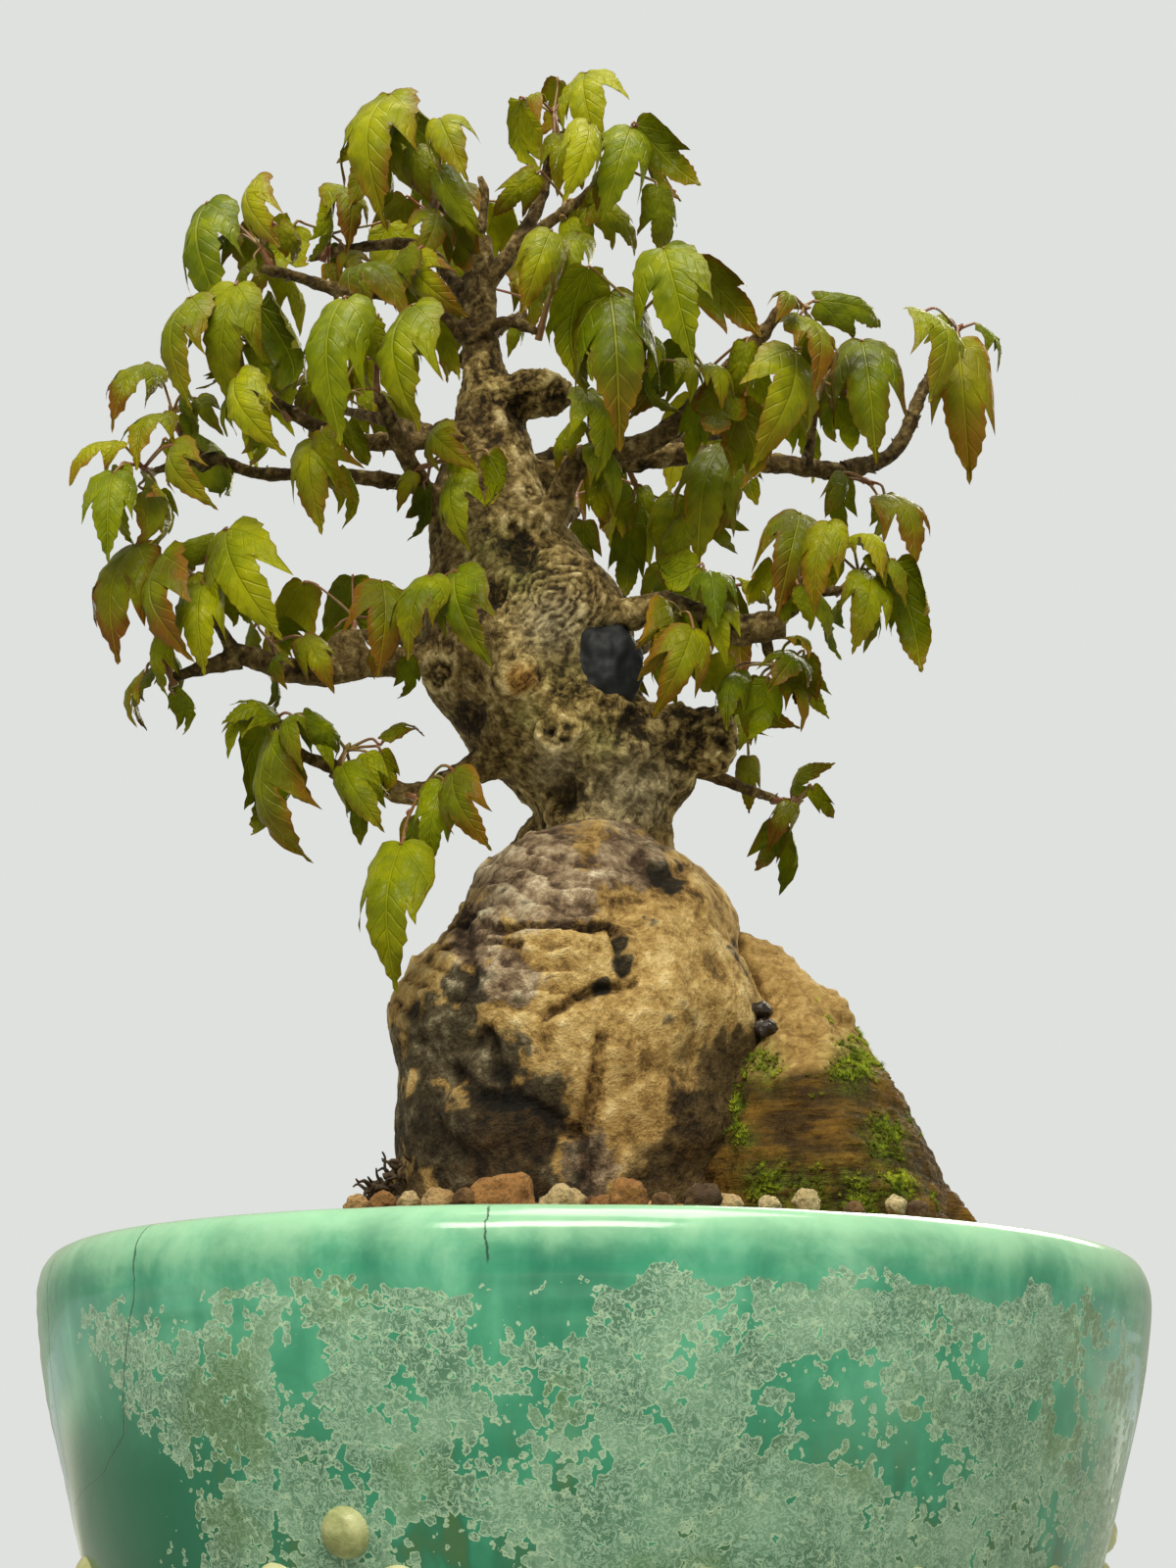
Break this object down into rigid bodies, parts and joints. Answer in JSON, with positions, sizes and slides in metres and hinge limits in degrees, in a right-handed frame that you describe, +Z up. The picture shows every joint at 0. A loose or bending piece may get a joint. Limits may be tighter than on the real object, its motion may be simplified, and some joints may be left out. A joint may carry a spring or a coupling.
{
  "type": "trident maple bonsai",
  "caption": "Small trident maple grown with its roots over a stone, in a round turquoise glazed pot with short feet, granular soil and a drainage hole.",
  "frame": {"origin": "on the surface that the feet stand on, under the middle of the pot", "axes": "+Z up along the trunk, -Y toward the front of the tree, +X to the right as seen from the front"},
  "size_m": [0.18, 0.18, 0.2991],
  "materials": {
    "glaze": "gloss",
    "mesh_plastic": "matte",
    "soil_grains": "matte",
    "stone": "rough",
    "bark": "rough",
    "cut_paste": "satin",
    "leaf": "satin"
  },
  "bodies": {
    "root": {"cut_paste": "cut_paste", "drain_mesh": "mesh_plastic", "pot": "glaze", "rock": "stone", "soil": "soil_grains", "spray_apex": "leaf", "spray_apex_low": "leaf", "spray_apex_right": "leaf", "spray_back": "leaf", "spray_back_high": "leaf", "spray_back_left": "leaf", "spray_back_low": "leaf", "spray_back_low_left": "leaf", "spray_back_low_mid": "leaf", "spray_back_right": "leaf", "spray_back_top": "leaf", "spray_behind_trunk": "leaf", "spray_centre": "leaf", "spray_far_flat": "leaf", "spray_far_tip": "leaf", "spray_far_up": "leaf", "spray_front_left": "leaf", "spray_high_front": "leaf", "spray_left_high": "leaf", "spray_left_high_back": "leaf", "spray_left_low_mid": "leaf", "spray_left_low_side": "leaf", "spray_left_low_tip": "leaf", "spray_left_low_up": "leaf", "spray_left_mid": "leaf", "spray_left_mid_tip": "leaf", "spray_left_tip": "leaf", "spray_left_up": "leaf", "spray_lowest_left_flat": "leaf", "spray_lowest_left_mid": "leaf", "spray_lowest_left_tip": "leaf", "spray_lowest_right": "leaf", "spray_lowest_right_up": "leaf", "spray_right_drop": "leaf", "spray_right_hanging": "leaf", "spray_right_low_front": "leaf", "spray_right_low_mid": "leaf", "spray_right_low_tip": "leaf", "spray_right_low_top": "leaf", "spray_right_mid": "leaf", "spray_right_short": "leaf", "spray_right_tip": "leaf", "spray_right_up": "leaf", "spray_top": "leaf", "spray_top_left": "leaf", "spray_trunk_front": "leaf", "spray_trunk_left": "leaf", "tree_wood": "bark"}
  },
  "joints": []
}
